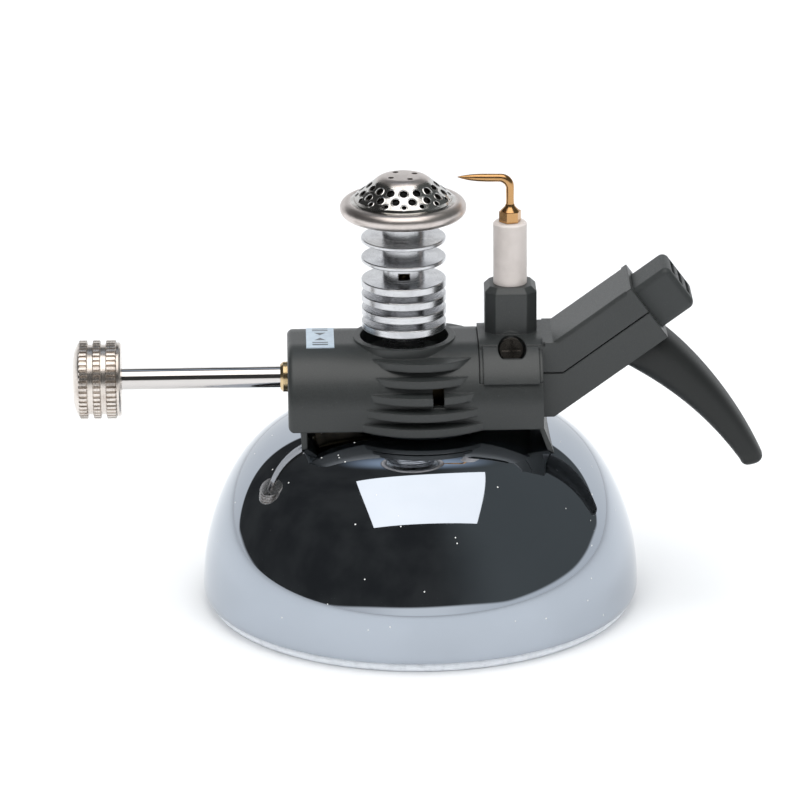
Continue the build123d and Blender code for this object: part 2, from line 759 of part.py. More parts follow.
# ------------------------------------------------------------------ igniter cover and arm
panel_start = cover_left + 0.7
panel_end = 24.3
saddle_half_width = 7.3
with BuildPart() as igniter_cover:
    # upper half of the arm with softened edges, then the part over the housing
    with BuildSketch(Plane.XZ):
        with BuildLine():
            Polyline(arm_outline(0, upper=True), close=True)
        make_face()
    extrude(amount=arm_half_width, both=True)
    fillet(igniter_cover.edges().filter_by(arm_axis).group_by(Axis.Z)[-1], 0.8)
    with BuildSketch(Plane.YZ.offset(cover_left)):
        add(loaf_face(cover_proud, split_height + shell_gap))
    extrude(amount=housing_right - cover_left)
    with BuildSketch(Plane.XY.offset(housing_top - 2)):
        add(boss_face())
    extrude(amount=boss_top - housing_top + 2)
    chamfer(igniter_cover.faces().sort_by(Axis.Z)[-1].edges(), 1.1)
    # grooves between the saddle and the raised side panels, which stop short of both ends
    for side in (-1, 1):
        with Locations(((cover_left + housing_right) / 2, side * 7.65, housing_top + 0.7)):
            Box(housing_right - cover_left + 1, 0.7, 1.4, mode=Mode.SUBTRACT)
    for band_start, band_width in (
        (cover_left - 1, panel_start - cover_left + 1),
        (panel_end, housing_right - panel_end + 0.01),
    ):
        with BuildSketch(Plane.YZ.offset(band_start)):
            add(loaf_face(3, split_height - 1))
            add(loaf_face(0, split_height - 2), mode=Mode.SUBTRACT)
            with Locations((0, housing_top)):
                Rectangle(2 * saddle_half_width, 30, mode=Mode.SUBTRACT)
            if band_start == panel_end:
                with Locations((0, housing_top)):
                    Rectangle(2 * arm_half_width + 0.02, 30, mode=Mode.SUBTRACT)
        extrude(amount=band_width, mode=Mode.SUBTRACT)
    # hollow inside
    with BuildSketch(Plane.YZ.offset(cover_left + housing_wall)):
        add(loaf_face(cover_proud - housing_wall, split_height - 1))
    extrude(amount=housing_right - cover_left - 2 * housing_wall, mode=Mode.SUBTRACT)
    with BuildSketch(Plane.XZ):
        with BuildLine():
            Polyline(arm_outline(arm_wall, upper=True), close=True)
        make_face()
    extrude(amount=arm_half_width - arm_wall, both=True, mode=Mode.SUBTRACT)
    # end frame that guides the button
    with BuildSketch(arm_offset(-arm_wall)):
        Rectangle(2 * arm_half_width, 2 * arm_half_height)
        Rectangle(button_width + 0.3, button_height + 0.3, mode=Mode.SUBTRACT)
        with Locations((0, parting_gap - arm_half_height)):
            Rectangle(4 * arm_half_width, 2 * arm_half_height, mode=Mode.SUBTRACT)
    extrude(amount=arm_wall)
    # seat for the ceramic and the recess of the cover screw
    with BuildSketch(Plane.XY.offset(housing_top - 2)):
        add(boss_face())
    extrude(amount=4)
    with BuildSketch(Plane.XY.offset(housing_top - 3)):
        with Locations((boss_x, boss_y)):
            Circle(ceramic_radius)
    extrude(amount=20, mode=Mode.SUBTRACT)
    with BuildSketch(screw_plane.offset(0.8)):
        Circle(screw_recess_radius + 0.9)
    extrude(amount=screw_seat + 0.1)
    with BuildSketch(Plane.YZ.offset(cover_left)):
        with Locations((-boss_half_width - 4, housing_top)):
            Rectangle(14, 12)
        add(loaf_face(cover_proud, split_height - 5), mode=Mode.SUBTRACT)
        with Locations((boss_y - boss_half_width + 20, housing_top)):
            Rectangle(40, 40, mode=Mode.SUBTRACT)
    extrude(amount=housing_right - cover_left, mode=Mode.SUBTRACT)
    with BuildSketch(screw_plane.offset(-3)):
        Circle(screw_recess_radius)
    extrude(amount=screw_seat + 3, mode=Mode.SUBTRACT)
    with BuildSketch(screw_plane):
        Circle(1.45)
    extrude(amount=12, mode=Mode.SUBTRACT)
    with Locations((boss_x - 0.1, -0.1, tub_floor + post_height / 2)):
        Box(post_size[0] + 0.2, post_size[1] + 0.2, post_height + 0.2, mode=Mode.SUBTRACT)
save(igniter_cover, "igniter_cover")

slot_start = -13.4
slot_end = -5.6
slot_half_width = 6.2
pivot = arm_point(-10.5, -3.5)
with BuildPart() as igniter_lower_shell:
    with BuildSketch(Plane.XZ):
        with BuildLine():
            Polyline(arm_outline(0, upper=False), close=True)
        make_face()
    extrude(amount=arm_half_width, both=True)
    with BuildSketch(Plane.XZ):
        with BuildLine():
            Polyline(arm_outline(arm_wall, upper=False), close=True)
        make_face()
    extrude(amount=arm_half_width - arm_wall, both=True, mode=Mode.SUBTRACT)
    with BuildSketch(arm_offset(-arm_wall)):
        Rectangle(2 * arm_half_width, 2 * arm_half_height)
        Rectangle(button_width + 0.3, button_height + 0.3, mode=Mode.SUBTRACT)
        with Locations((0, arm_half_height)):
            Rectangle(4 * arm_half_width, 2 * arm_half_height, mode=Mode.SUBTRACT)
    extrude(amount=arm_wall)
    # slot for the lever's neck, and blind holes for its pin
    with BuildSketch(arm_offset(slot_start)):
        with Locations((0, -arm_half_height)):
            Rectangle(2 * slot_half_width, 3.2)
    extrude(amount=slot_end - slot_start, mode=Mode.SUBTRACT)
    with BuildSketch(Plane.XZ):
        with Locations(pivot):
            Circle(pin_radius)
    extrude(amount=7.2, both=True, mode=Mode.SUBTRACT)
save(igniter_lower_shell, "igniter_lower_shell")

with BuildPart() as cover_screw:
    with BuildSketch(screw_plane.offset(screw_seat - screw_head_height)):
        Circle(2.4)
    extrude(amount=screw_head_height)
    with BuildSketch(screw_plane.offset(screw_seat)):
        Circle(1.3)
    extrude(amount=5.0)
    with Locations(screw_plane.offset(screw_seat - screw_head_height)):
        Box(4.0, 0.6, 1.0, mode=Mode.SUBTRACT)
        Box(0.6, 4.0, 1.0, mode=Mode.SUBTRACT)
save(cover_screw, "cover_screw")

button_inner = -2.9
with BuildPart() as igniter_button:
    with BuildSketch(arm_offset(button_inner)):
        Rectangle(button_width, button_height)
    extrude(amount=button_reach - button_inner)
    fillet(igniter_button.edges().filter_by(arm_axis), 1.2)
    fillet(igniter_button.faces().sort_by(arm_axis)[-1].edges(), 1.4)
    for row in (-1, 0, 1):
        with BuildSketch(arm_offset(button_reach)):
            with Locations((0, 2.6 * row)):
                Rectangle(7.6, 1.3)
        extrude(amount=-1.2, mode=Mode.SUBTRACT)
save(igniter_button, "igniter_button")

# ------------------------------------------------------------------ piezo igniter
piezo_front = -7.2
piezo_back = -24.0
piezo_y = 2.0
piezo_rise = 2.4
plunger_radius = 1.6
with BuildPart() as piezo_body:
    with BuildSketch(arm_offset(piezo_back)):
        with Locations((piezo_y, piezo_rise)):
            RectangleRounded(7.0, 5.4, 0.8)
    extrude(amount=piezo_front - piezo_back)
    with BuildSketch(arm_offset(piezo_front)):
        with Locations((piezo_y, piezo_rise)):
            Circle(plunger_radius + shaft_clearance)
    extrude(amount=-10.0, mode=Mode.SUBTRACT)
save(piezo_body, "piezo_body")

with BuildPart() as piezo_plunger:
    with BuildSketch(arm_offset(-12.0)):
        with Locations((piezo_y, piezo_rise)):
            Circle(plunger_radius)
    extrude(amount=12.0 + button_inner)
save(piezo_plunger, "piezo_plunger")

lead_radius = 0.6
with BuildPart() as hv_lead:
    with BuildLine(Plane.XZ.offset(-boss_y)) as lead_route:
        FilletPolyline(
            (boss_x, ceramic_bottom), (boss_x, 49.5), arm_point(piezo_back - 4.0, piezo_rise),
            arm_point(piezo_back, piezo_rise), radius=1.2,
        )
    with BuildSketch(Plane(lead_route.line @ 0, z_dir=lead_route.line % 0)):
        Circle(lead_radius)
    sweep()
save(hv_lead, "hv_lead")

with BuildPart() as earth_strip:
    strip = 0.4
    strip_reach = arm_point(piezo_back, piezo_rise)[0] - 0.05
    with BuildSketch(Plane.XZ):
        with BuildLine():
            Polyline(
                (block_right, 47.2), (22.2, 47.2), (22.2, 51.2), (strip_reach, 51.2),
                (strip_reach, 51.2 - strip), (22.2 + strip, 51.2 - strip),
                (22.2 + strip, 47.2 - strip), (block_right, 47.2 - strip), close=True,
            )
        make_face()
    extrude(amount=-1.0)
earth_strip.part = Pos(0, 4.3, 0) * earth_strip.part
save(earth_strip, "earth_strip")

with BuildPart() as ceramic_insulator:
    with BuildSketch(Plane.XY.offset(ceramic_bottom)):
        with Locations((boss_x, boss_y)):
            Circle(ceramic_radius)
            Circle(0.8, mode=Mode.SUBTRACT)
    extrude(amount=ceramic_top - ceramic_bottom)
    chamfer(ceramic_insulator.edges().group_by(Axis.Z)[-1].sort_by(SortBy.RADIUS)[-1], 0.35)
save(ceramic_insulator, "ceramic_insulator")

collar_height = 2.0
electrode_bend = 2.4
electrode_collar_radius = 2.33
point_length = 2.2
with BuildPart() as electrode:
    with BuildLine(Plane.XZ.offset(-boss_y)) as wire_route:
        FilletPolyline(
            (boss_x, ceramic_bottom + lead_radius), (boss_x, electrode_height),
            (electrode_tip_x + point_length, electrode_height + 0.25), radius=electrode_bend,
        )
    with BuildSketch(Plane(wire_route.line @ 0, z_dir=wire_route.line % 0)):
        Circle(electrode_radius)
    sweep()
    with BuildSketch(Plane.XY.offset(ceramic_top)):
        with Locations((boss_x, boss_y)):
            Circle(electrode_collar_radius)
    extrude(amount=collar_height)
    with BuildSketch(Plane.XY.offset(ceramic_top + collar_height)):
        with Locations((boss_x, boss_y)):
            Circle(electrode_collar_radius)
    extrude(amount=1.1, taper=45)
    with BuildSketch(Plane(wire_route.line @ 1, z_dir=wire_route.line % 1)):
        Circle(electrode_radius)
    extrude(amount=point_length, taper=16)
save(electrode, "electrode")

# ------------------------------------------------------------------ lever, its pin, spring and pushrod
hub_radius = 2.4
hub_y = (-6.0, 3.0)
tail_tip = (34.0, pushrod_height)
tail_radius = 1.1
tail_width = 2.6
# blade sections from root to tip: upper edge and lower edge in XZ, and half width in Y
blade_sections = (
    ((50.6, 57.8), (42.6, 52.1), 7.2),
    ((55.6, 52.3), (49.6, 45.9), 6.6),
    ((60.6, 47.0), (55.3, 41.5), 6.0),
    ((64.8, 40.6), (60.0, 36.3), 5.4),
    ((68.6, 34.6), (63.2, 32.2), 4.8),
    ((lever_tip_x, 30.2), (65.7, 29.3), 4.0),
)
tip_sections = (
    blade_sections[-1],
    ((70.3, 28.7), (66.5, 28.1), 2.8),
    ((69.0, 27.9), (67.7, 27.6), 1.4),
)
with BuildPart() as trigger_lever:
    # curved blade with an oval section, and its rounded tip
    for sections, flat_sided in ((blade_sections, False), (tip_sections, True)):
        for upper, lower, half_width in sections:
            middle = ((upper[0] + lower[0]) / 2, (upper[1] + lower[1]) / 2)
            chord = (upper[0] - lower[0], upper[1] - lower[1])
            across = Plane(
                origin=(middle[0], 0, middle[1]), x_dir=(0, 1, 0), z_dir=(chord[1], 0, -chord[0])
            )
            with BuildSketch(across):
                Ellipse(half_width, hypot(*chord) / 2)
        loft(ruled=flat_sided)
    # neck through the slot, hub on the pin, and the tail that works the pushrod
    with BuildSketch(Plane.XZ.offset(-hub_y[1])):
        with BuildLine():
            Polyline(
                arm_point(-12.0, -4.2), arm_point(-9.8, -7.2), arm_point(-7.6, -9.8),
                arm_point(-5.9, -8.0), arm_point(-6.6, -6.4), arm_point(-8.3, -4.2), close=True,
            )
        make_face()
        with Locations(pivot):
            Circle(hub_radius)
    extrude(amount=hub_y[1] - hub_y[0])
    with BuildSketch(Plane.XZ.offset(-pushrod_y - tail_width / 2)):
        with Locations(pivot):
            Circle(1.6)
        with Locations(tail_tip):
            Circle(tail_radius)
        make_hull()
    extrude(amount=tail_width)
    with BuildSketch(Plane.XZ):
        with Locations(pivot):
            Circle(pin_radius + shaft_clearance)
    extrude(amount=10, both=True, mode=Mode.SUBTRACT)
save(trigger_lever, "trigger_lever")

with BuildPart() as lever_pin:
    with BuildSketch(Plane.XZ):
        with Locations(pivot):
            Circle(pin_radius)
    extrude(amount=7.2, both=True)
save(lever_pin, "lever_pin")

spring_gap = 0.3
with BuildPart() as lever_spring:
    add(
        coil(
            Plane(
                origin=(pivot[0], hub_y[1] + spring_gap + 0.3, pivot[1]),
                x_dir=(0, 0, -1), z_dir=(0, 1, 0),
            ),
            1.45, 0.22, 0.65, 2.6,
        )
    )
save(lever_spring, "lever_spring")

with BuildPart() as gas_pushrod:
    with BuildSketch(Plane.YZ.offset(2.5)):
        with Locations((pushrod_y, pushrod_height)):
            Circle(pushrod_radius)
    extrude(amount=tail_tip[0] - tail_radius - 0.1 - 2.5)
    chamfer(gas_pushrod.edges().group_by(Axis.X)[0], 0.4)
save(gas_pushrod, "gas_pushrod")
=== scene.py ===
import json
from math import cos, hypot, pi, radians, sin

import bmesh
import bpy
from mathutils import Matrix, Vector


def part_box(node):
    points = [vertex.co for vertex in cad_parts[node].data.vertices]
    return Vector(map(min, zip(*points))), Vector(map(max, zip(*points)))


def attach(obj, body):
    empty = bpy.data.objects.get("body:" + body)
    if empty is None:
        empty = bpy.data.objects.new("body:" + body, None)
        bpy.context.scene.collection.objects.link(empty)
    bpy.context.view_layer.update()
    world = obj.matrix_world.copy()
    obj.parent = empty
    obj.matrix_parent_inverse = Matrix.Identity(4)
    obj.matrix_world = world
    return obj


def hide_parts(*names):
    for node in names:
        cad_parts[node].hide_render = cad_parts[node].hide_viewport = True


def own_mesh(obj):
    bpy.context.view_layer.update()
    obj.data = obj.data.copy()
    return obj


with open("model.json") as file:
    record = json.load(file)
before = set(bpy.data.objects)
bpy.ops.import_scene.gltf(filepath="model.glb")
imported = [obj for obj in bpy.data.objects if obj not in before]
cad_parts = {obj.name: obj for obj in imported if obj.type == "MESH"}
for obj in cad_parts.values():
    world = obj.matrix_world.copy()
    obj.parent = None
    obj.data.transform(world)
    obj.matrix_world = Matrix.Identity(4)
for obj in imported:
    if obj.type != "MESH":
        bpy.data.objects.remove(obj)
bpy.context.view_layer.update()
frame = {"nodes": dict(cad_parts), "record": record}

MM = 0.001


# ---------------------------------------------------------------- places taken from the frame
tank_low, tank_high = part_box("tank_shell")
tube_low, tube_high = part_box("burner_tube")
rod_low, rod_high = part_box("control_rod")
BURNER_X = (tube_low.x + tube_high.x) / 2
ROD_Z = (rod_low.z + rod_high.z) / 2
label_low, label_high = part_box("label_plate")
LABEL_X = (label_low.x + label_high.x) / 2

# gas holes of the cap in millimetres: row radius and height, hole diameter, half-pitch stagger
CAP_ROWS = ((6.9, 89.3, 1.75, 0.0), (8.5, 88.05, 1.65, 0.5), (9.45, 87.25, 1.05, 0.0))
CAP_HOLES = 16
LIP_WIDTH = 0.28
# radii in millimetres between which the cap's crown ends and its rim begins
CAP_CROWN = (5.0, 5.9)
CAP_RIM = (10.4, 11.2)


# ---------------------------------------------------------------- shader node helper
class Shader:
    """Builds one node tree: add() makes a node, sets its inputs and returns its first output."""

    def __init__(self, tree):
        self.tree = tree
        self.tree.nodes.clear()

    def node(self, kind, inputs=None, **settings):
        made = self.tree.nodes.new(kind)
        for name, value in settings.items():
            setattr(made, name, value)
        for name, value in (inputs or {}).items():
            socket = made.inputs[name]
            if isinstance(value, bpy.types.NodeSocket):
                self.tree.links.new(value, socket)
            else:
                socket.default_value = value
        return made

    def add(self, kind, inputs=None, **settings):
        return self.node(kind, inputs, **settings).outputs[0]

    def math(self, operation, *values, clamp=False):
        made = self.node("ShaderNodeMath", operation=operation, use_clamp=clamp)
        for socket, value in zip(made.inputs, values):
            if isinstance(value, bpy.types.NodeSocket):
                self.tree.links.new(value, socket)
            else:
                socket.default_value = value
        return made.outputs[0]

    def smooth(self, value, low, high, to_low=0.0, to_high=1.0):
        """Smooth step from to_low to to_high as value goes from low to high."""
        return self.add("ShaderNodeMapRange", {"Value": value, "From Min": low, "From Max": high,
                                               "To Min": to_low, "To Max": to_high},
                        interpolation_type="SMOOTHSTEP")

    def mix(self, factor, first, second):
        made = self.node("ShaderNodeMix", data_type="RGBA")
        for socket, value in ((made.inputs["Factor"], factor), (made.inputs[6], first),
                              (made.inputs[7], second)):
            if isinstance(value, bpy.types.NodeSocket):
                self.tree.links.new(value, socket)
            else:
                socket.default_value = value if socket.type == "VALUE" else rgba(value)
        return made.outputs[2]

    def noise(self, vector, scale, detail=2.0, rough=0.5):
        return self.add("ShaderNodeTexNoise", {"Vector": vector, "Scale": scale, "Detail": detail,
                                               "Roughness": rough})

    def bump(self, height, strength, distance, normal=None):
        inputs = {"Height": height, "Strength": strength, "Distance": distance}
        if normal is not None:
            inputs["Normal"] = normal
        return self.add("ShaderNodeBump", inputs)

    def output(self, surface, kind="ShaderNodeOutputMaterial"):
        self.node(kind, {"Surface": surface})


def rgba(value):
    return (value, value, value, 1.0) if isinstance(value, (int, float)) else (*value[:3], 1.0)


def new_material(name):
    material = bpy.data.materials.new(name)
    material.use_nodes = True
    shader = Shader(material.node_tree)
    place = shader.node("ShaderNodeTexCoord").outputs["Object"]
    return material, shader, place


def around(shader, place, centre, axis="Z"):
    """(distance from an axis, place along it) at each point; the axis is Z or X."""
    split = shader.node("ShaderNodeSeparateXYZ", {"Vector": place})
    x, y, z = split.outputs
    if axis == "Z":
        first, second, along = (x, centre[0]), (y, centre[1]), z
    else:
        first, second, along = (y, centre[0]), (z, centre[1]), x
    a = shader.math("SUBTRACT", *first)
    b = shader.math("SUBTRACT", *second)
    radius = shader.math("SQRT", shader.math("ADD", shader.math("MULTIPLY", a, a),
                                             shader.math("MULTIPLY", b, b)))
    return radius, along


def turned(shader, radius, along, scale):
    """Fine turning lines: noise that changes along the radius and the length only."""
    vector = shader.add("ShaderNodeCombineXYZ", {"X": radius, "Y": along, "Z": 0.0})
    return shader.noise(vector, scale, detail=3.0, rough=0.7)


# ---------------------------------------------------------------- materials
def plated(name, colour, rough, smear, speck=0.0):
    """Mirror-bright plating, with faint wiping marks and, if asked, a few dust specks."""
    material, s, place = new_material(name)
    cloud = s.noise(place, 38.0, detail=4.0)
    wipe = s.noise(place, 420.0, detail=2.0)
    tint = s.mix(s.smooth(cloud, 0.35, 0.7), colour, [c * 0.94 for c in colour])
    roughness = s.smooth(s.math("MULTIPLY", cloud, wipe), 0.12, 0.42, rough, rough + smear)
    metal = 1.0
    if speck:
        cells = s.node("ShaderNodeTexVoronoi", {"Vector": place, "Scale": 300.0, "Randomness": 1.0})
        chosen = s.math("GREATER_THAN", s.add("ShaderNodeSeparateColor", {"Color": cells.outputs["Color"]}),
                        1.0 - speck)
        near = s.math("LESS_THAN", cells.outputs["Distance"], 0.05)
        dust = s.math("MULTIPLY", chosen, near)
        tint = s.mix(dust, tint, (0.80, 0.80, 0.78))
        roughness = s.math("ADD", roughness, s.math("MULTIPLY", dust, 0.5))
        metal = s.math("SUBTRACT", 1.0, dust)
    ripple = s.bump(s.noise(place, 60.0, detail=1.0), 0.02, 0.0004)
    s.output(s.add("ShaderNodeBsdfPrincipled", {"Base Color": tint, "Metallic": metal,
                                                "Roughness": roughness, "Normal": ripple}))
    return material


def machined(name, colour, dark, rough, centre, axis="Z", groove=0.12, scale=9000.0, edge=0.0001):
    """Turned metal: fine lines round the turning axis, a little tarnish in patches."""
    material, s, place = new_material(name)
    radius, along = around(s, place, centre, axis)
    lines = turned(s, radius, along, scale)
    patches = s.noise(place, 260.0, detail=5.0, rough=0.6)
    tint = s.mix(s.smooth(patches, 0.42, 0.75), colour, dark)
    tint = s.mix(s.smooth(lines, 0.35, 0.65, 0.0, 0.25), tint, dark)
    roughness = s.smooth(s.math("ADD", s.math("MULTIPLY", lines, 0.6), s.math("MULTIPLY", patches, 0.4)),
                         0.3, 0.7, rough[0], rough[1])
    rounded = s.node("ShaderNodeBevel", {"Radius": edge}, samples=4).outputs["Normal"]
    normal = s.bump(lines, groove, 0.00008, rounded)
    s.output(s.add("ShaderNodeBsdfPrincipled", {"Base Color": tint, "Metallic": 1.0,
                                                "Roughness": roughness, "Normal": normal}))
    return material


def moulded(name, colour, fleck, rough, texture, scale=3600.0, edge=0.0003, shine=0.5):
    """Moulded nylon: spark-eroded texture, a few pale glass flecks, edges slightly rounded by a bevel normal.
    """
    material, s, place = new_material(name)
    fine = s.noise(place, scale, detail=2.0, rough=0.6)
    sparse = s.noise(place, scale * 0.8, detail=1.0)
    broad = s.noise(place, 90.0, detail=3.0)
    tint = s.mix(s.smooth(fine, 0.35, 0.70, 0.0, 0.45), colour, [c * 1.5 for c in colour])
    tint = s.mix(s.smooth(sparse, 0.68, 0.80, 0.0, 0.45), tint, fleck)
    tint = s.mix(s.smooth(broad, 0.35, 0.75, 0.0, 0.25), tint, [c * 1.35 for c in colour])
    roughness = s.smooth(fine, 0.3, 0.7, rough[0], rough[1])
    rounded = s.node("ShaderNodeBevel", {"Radius": edge}, samples=4).outputs["Normal"]
    normal = s.bump(fine, texture, 0.00010, rounded)
    s.output(s.add("ShaderNodeBsdfPrincipled", {"Base Color": tint, "Roughness": roughness,
                                                "Specular IOR Level": shine, "Normal": normal}))
    return material


def hole_rims(s, place, radius, along):
    """A mask that is 1 on the raised lip round each punched gas hole of the cap and 0 away from them; it
    carries both the lips' bump and their painted highlight.
    """
    split = s.node("ShaderNodeSeparateXYZ", {"Vector": place})
    angle = s.math("ARCTAN2", split.outputs[1], s.math("SUBTRACT", split.outputs[0], BURNER_X))
    lips_and_highlight = None
    for row_radius, row_height, hole, stagger in CAP_ROWS:
        turn = s.math("ADD", s.math("MULTIPLY", angle, CAP_HOLES / (2 * pi)), 0.5 - stagger + CAP_HOLES)
        aside = s.math("MULTIPLY", s.math("SUBTRACT", s.math("FRACT", turn), 0.5),
                       2 * pi * row_radius * MM / CAP_HOLES)
        out = s.math("SUBTRACT", radius, row_radius * MM)
        down = s.math("SUBTRACT", along, row_height * MM)
        square = s.math("ADD", s.math("MULTIPLY", aside, aside),
                        s.math("ADD", s.math("MULTIPLY", out, out), s.math("MULTIPLY", down, down)))
        away = s.math("SQRT", square)
        lip = s.smooth(away, (hole / 2 + LIP_WIDTH) * MM, hole / 2 * MM)
        lips_and_highlight = lip if lips_and_highlight is None else s.math("MAXIMUM", lips_and_highlight, lip)
    return lips_and_highlight


def burner_cap_steel():
    """The cap's stainless steel: satin crown and rim, polished cone, and a painted highlight on the raised
    lips round the holes.
    """
    material, s, place = new_material("cap_stainless")
    radius, along = around(s, place, (BURNER_X, 0.0))
    lines = turned(s, radius, along, 11000.0)
    crown = s.smooth(radius, CAP_CROWN[0] * MM, CAP_CROWN[1] * MM, 1.0, 0.0)
    rim = s.smooth(radius, CAP_RIM[0] * MM, CAP_RIM[1] * MM)
    satin = s.math("MAXIMUM", crown, rim)
    lips_and_highlight = hole_rims(s, place, radius, along)
    patches = s.noise(place, 330.0, detail=4.0, rough=0.6)
    polished = s.mix(s.smooth(patches, 0.4, 0.7), (0.60, 0.585, 0.565), (0.44, 0.425, 0.40))
    brushed = s.mix(s.smooth(patches, 0.4, 0.75), (0.66, 0.60, 0.57), (0.56, 0.505, 0.47))
    tint = s.mix(satin, polished, brushed)
    # the lips are tinted near-white: a painted highlight, on top of the real raised lip given by the bump
    tint = s.mix(lips_and_highlight, tint, (0.92, 0.90, 0.88))
    roughness = s.math("ADD", s.math("MULTIPLY", satin, 0.22), s.smooth(lines, 0.3, 0.7, 0.08, 0.15))
    roughness = s.math("ADD", roughness, s.math("MULTIPLY", lips_and_highlight, 0.15))
    normal = s.bump(lines, 0.14, 0.00008)
    normal = s.bump(lips_and_highlight, 0.45, 0.00015, normal)
    s.output(s.add("ShaderNodeBsdfPrincipled", {"Base Color": tint, "Metallic": 1.0,
                                                "Roughness": roughness, "Normal": normal}))
    return material


def steatite():
    """Unglazed white ceramic: faint clouding, tiny dark grains, a slightly rough surface."""
    material, s, place = new_material("white_ceramic")
    cloud = s.noise(place, 210.0, detail=4.0)
    grains = s.noise(place, 5200.0, detail=1.0)
    tint = s.mix(s.smooth(cloud, 0.35, 0.7), (0.67, 0.61, 0.575), (0.59, 0.535, 0.50))
    tint = s.mix(s.smooth(grains, 0.70, 0.78, 0.0, 0.5), tint, (0.45, 0.41, 0.37))
    normal = s.bump(s.noise(place, 1500.0, detail=3.0), 0.12, 0.0001)
    s.output(s.add("ShaderNodeBsdfPrincipled", {"Base Color": tint, "Roughness": 0.48,
                                                "Specular IOR Level": 0.45, "Normal": normal}))
    return material


def printed_film():
    """The label's film: pale blue with a soft mottle, and a generic arrow and bars at each end."""
    material, s, place = new_material("label_film")
    mottle = s.noise(place, 900.0, detail=3.0)
    tint = s.mix(s.smooth(mottle, 0.35, 0.7), (0.50, 0.585, 0.66), (0.44, 0.52, 0.60))
    split = s.node("ShaderNodeSeparateXYZ", {"Vector": place})
    across = s.math("ABSOLUTE", s.math("SUBTRACT", split.outputs[0], LABEL_X))
    up = s.math("ABSOLUTE", split.outputs[1])
    ragged = s.math("ADD", across, s.math("MULTIPLY", mottle, 0.00012))
    bar_pitch, bar_share, bar_reach = 1.15 * MM, 0.55, 1.65 * MM
    bars_middle, bars_half = 4.3 * MM, 1.35 * MM
    arrow_point, arrow_base, arrow_spread = 0.7 * MM, 2.4 * MM, 0.75
    stripes = s.math("LESS_THAN", s.math("FRACT", s.math("DIVIDE", up, bar_pitch)), bar_share)
    bars = s.math("MULTIPLY", stripes, s.math("LESS_THAN", ragged, bar_reach))
    off_middle = s.math("ABSOLUTE", s.math("SUBTRACT", up, bars_middle))
    bars = s.math("MULTIPLY", bars, s.math("LESS_THAN", off_middle, bars_half))
    head = s.math("MULTIPLY", s.math("SUBTRACT", up, arrow_point), arrow_spread)
    arrow = s.math("MULTIPLY", s.math("GREATER_THAN", up, arrow_point), s.math("LESS_THAN", ragged, head))
    arrow = s.math("MULTIPLY", arrow, s.math("LESS_THAN", up, arrow_base))
    marks = s.math("MAXIMUM", bars, arrow)
    tint = s.mix(s.math("MULTIPLY", marks, 0.85), tint, (0.035, 0.04, 0.05))
    normal = s.bump(s.noise(place, 300.0, detail=2.0), 0.1, 0.0001)
    s.output(s.add("ShaderNodeBsdfPrincipled", {"Base Color": tint, "Roughness": 0.38, "Normal": normal}))
    return material


def rubbery(name, colour, dull):
    """Rubber or silicone: matt, with a slight bloom in patches."""
    material, s, place = new_material(name)
    bloom = s.noise(place, 500.0, detail=4.0)
    tint = s.mix(s.smooth(bloom, 0.4, 0.75), colour, dull)
    normal = s.bump(s.noise(place, 2400.0, detail=2.0), 0.15, 0.0001)
    s.output(s.add("ShaderNodeBsdfPrincipled", {"Base Color": tint, "Roughness": 0.62,
                                                "Specular IOR Level": 0.3, "Normal": normal}))
    return material


def braided_cotton():
    """The wick: crossed strands of undyed cotton."""
    material, s, place = new_material("cotton")
    strands = s.add("ShaderNodeTexWave", {"Vector": place, "Scale": 900.0, "Distortion": 3.0},
                    bands_direction="DIAGONAL")
    tint = s.mix(strands, (0.80, 0.77, 0.69), (0.58, 0.54, 0.46))
    normal = s.bump(strands, 0.5, 0.0002)
    s.output(s.add("ShaderNodeBsdfPrincipled", {"Base Color": tint, "Roughness": 0.85,
                                                "Normal": normal}))
    return material


